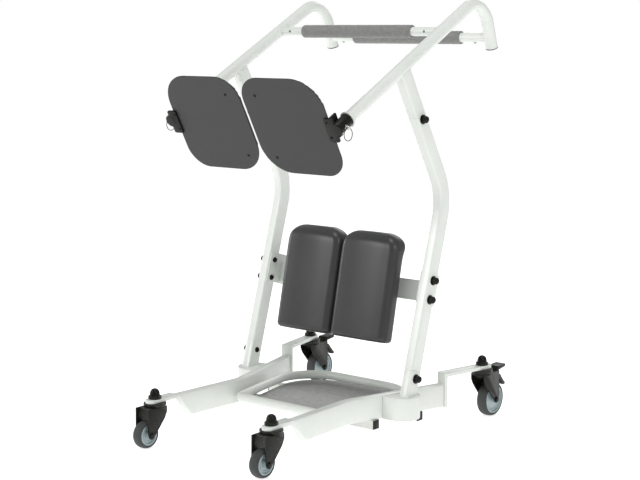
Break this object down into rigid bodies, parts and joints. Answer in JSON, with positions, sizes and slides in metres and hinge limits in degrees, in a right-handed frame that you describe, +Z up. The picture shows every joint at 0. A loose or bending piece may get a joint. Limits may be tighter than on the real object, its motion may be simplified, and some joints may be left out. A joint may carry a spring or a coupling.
{
  "type": "sit to stand lift",
  "caption": "Rolling sit to stand lift with a grey footplate, padded knee rests, swing-away seat pads, sloping arms joined by foam-gripped bars, and swivel casters.",
  "frame": {"origin": "on the floor under the middle of the whole lift, at the centre of its bounding box", "axes": "+Z up; -Y is the entry end, where the user steps on, and +Y the handle end, where the carer pushes; +X is to the right for someone looking along +Y"},
  "size_m": [0.707, 0.963, 1.1993],
  "materials": {
    "powder_coat": "smooth gloss powder coat",
    "footplate_grey": "fine non-slip texture",
    "black_plastic": "moulded, satin",
    "caster_black": "dark plated or painted, satin",
    "pad_vinyl": "fine-grained vinyl skin",
    "grip_foam": "closed-cell foam",
    "tyre_grey": "soft grey tread",
    "hub_grey": "moulded",
    "steel": "bright zinc"
  },
  "bodies": {
    "frame": {"arm_end_plug_left": "black_plastic", "arm_end_plug_right": "black_plastic", "arm_tube_left": "powder_coat", "arm_tube_right": "powder_coat", "base_leg_left": "powder_coat", "base_leg_right": "powder_coat", "caster_stem_entry_left": "caster_black", "caster_stem_entry_right": "caster_black", "caster_stem_handle_left": "caster_black", "caster_stem_handle_right": "caster_black", "cross_tube_entry": "powder_coat", "cross_tube_handle": "powder_coat", "cross_tube_plug_entry_left": "black_plastic", "cross_tube_plug_entry_right": "black_plastic", "cross_tube_plug_handle_left": "black_plastic", "cross_tube_plug_handle_right": "black_plastic", "entry_caster_strap_left": "powder_coat", "entry_caster_strap_right": "powder_coat", "footplate": "footplate_grey", "footplate_frame": "powder_coat", "handle_caster_strap_left": "powder_coat", "handle_caster_strap_right": "powder_coat", "knee_crossbar": "powder_coat", "knee_pad_left": "pad_vinyl", "knee_pad_right": "pad_vinyl", "patient_bar": "powder_coat", "patient_bar_grip": "grip_foam", "push_bar": "powder_coat", "push_bar_grip": "grip_foam", "upright_base_left": "powder_coat", "upright_base_right": "powder_coat", "upright_left": "powder_coat", "upright_right": "powder_coat"},
    "seat_left": {"seat_pad_left": "pad_vinyl", "seat_hinge_left": "black_plastic"},
    "pin_left": {"detent_pin_left": "steel"},
    "ring_left": {"pull_ring_left": "steel"},
    "fork_entry_left": {"caster_fork_entry_left": "caster_black", "caster_axle_entry_left": "steel"},
    "wheel_entry_left": {"caster_wheel_entry_left": "hub_grey", "caster_tyre_entry_left": "tyre_grey"},
    "fork_handle_left": {"caster_fork_handle_left": "caster_black", "caster_axle_handle_left": "steel"},
    "wheel_handle_left": {"caster_wheel_handle_left": "hub_grey", "caster_tyre_handle_left": "tyre_grey"},
    "pedal_left": {"brake_pedal_handle_left": "caster_black"},
    "seat_right": {"seat_pad_right": "pad_vinyl", "seat_hinge_right": "black_plastic"},
    "pin_right": {"detent_pin_right": "steel"},
    "ring_right": {"pull_ring_right": "steel"},
    "fork_entry_right": {"caster_fork_entry_right": "caster_black", "caster_axle_entry_right": "steel"},
    "wheel_entry_right": {"caster_wheel_entry_right": "hub_grey", "caster_tyre_entry_right": "tyre_grey"},
    "fork_handle_right": {"caster_fork_handle_right": "caster_black", "caster_axle_handle_right": "steel"},
    "wheel_handle_right": {"caster_wheel_handle_right": "hub_grey", "caster_tyre_handle_right": "tyre_grey"},
    "pedal_right": {"brake_pedal_handle_right": "caster_black"}
  },
  "joints": [
    {"name": "seat_flip_left", "type": "hinge", "parent": "frame", "child": "seat_left", "pos_m": [-0.291, -0.245, 0.8684], "axis": [0, 0.8817, 0.4718], "range_deg": [-100, 0]},
    {"name": "detent_pull_left", "type": "slide", "parent": "seat_left", "child": "pin_left", "axis": [-0.9781, 0.0981, -0.1833], "range_m": [0, 0.005], "stiffness_N_per_m": 300},
    {"name": "ring_swing_left", "type": "hinge", "parent": "pin_left", "child": "ring_left", "pos_m": [-0.31301, -0.22913, 0.87159], "axis": [0, 1, 0], "range_deg": [0, 80]},
    {"name": "swivel_entry_left", "type": "hinge", "parent": "frame", "child": "fork_entry_left", "pos_m": [-0.2095, -0.408, 0.1], "axis": [0, 0, 1], "continuous": true},
    {"name": "roll_entry_left", "type": "hinge", "parent": "fork_entry_left", "child": "wheel_entry_left", "pos_m": [-0.2095, -0.444, 0.0375], "axis": [1, 0, 0], "continuous": true},
    {"name": "swivel_handle_left", "type": "hinge", "parent": "frame", "child": "fork_handle_left", "pos_m": [-0.3225, 0.381, 0.12], "axis": [0, 0, 1], "continuous": true},
    {"name": "roll_handle_left", "type": "hinge", "parent": "fork_handle_left", "child": "wheel_handle_left", "pos_m": [-0.3225, 0.426, 0.05], "axis": [1, 0, 0], "continuous": true},
    {"name": "brake_press_left", "type": "hinge", "parent": "fork_handle_left", "child": "pedal_left", "pos_m": [-0.3225, 0.436, 0.117], "axis": [1, 0, 0], "range_deg": [-8, 0]},
    {"name": "seat_flip_right", "type": "hinge", "parent": "frame", "child": "seat_right", "pos_m": [0.291, -0.245, 0.8684], "axis": [0, 0.8817, 0.4718], "range_deg": [0, 100]},
    {"name": "detent_pull_right", "type": "slide", "parent": "seat_right", "child": "pin_right", "axis": [0.9781, 0.0981, -0.1833], "range_m": [0, 0.005], "stiffness_N_per_m": 300},
    {"name": "ring_swing_right", "type": "hinge", "parent": "pin_right", "child": "ring_right", "pos_m": [0.31301, -0.22913, 0.87159], "axis": [0, 1, 0], "range_deg": [-80, 0]},
    {"name": "swivel_entry_right", "type": "hinge", "parent": "frame", "child": "fork_entry_right", "pos_m": [0.2095, -0.408, 0.1], "axis": [0, 0, 1], "continuous": true},
    {"name": "roll_entry_right", "type": "hinge", "parent": "fork_entry_right", "child": "wheel_entry_right", "pos_m": [0.2095, -0.444, 0.0375], "axis": [1, 0, 0], "continuous": true},
    {"name": "swivel_handle_right", "type": "hinge", "parent": "frame", "child": "fork_handle_right", "pos_m": [0.3225, 0.381, 0.12], "axis": [0, 0, 1], "continuous": true},
    {"name": "roll_handle_right", "type": "hinge", "parent": "fork_handle_right", "child": "wheel_handle_right", "pos_m": [0.3225, 0.426, 0.05], "axis": [1, 0, 0], "continuous": true},
    {"name": "brake_press_right", "type": "hinge", "parent": "fork_handle_right", "child": "pedal_right", "pos_m": [0.3225, 0.436, 0.117], "axis": [1, 0, 0], "range_deg": [-8, 0]}
  ]
}
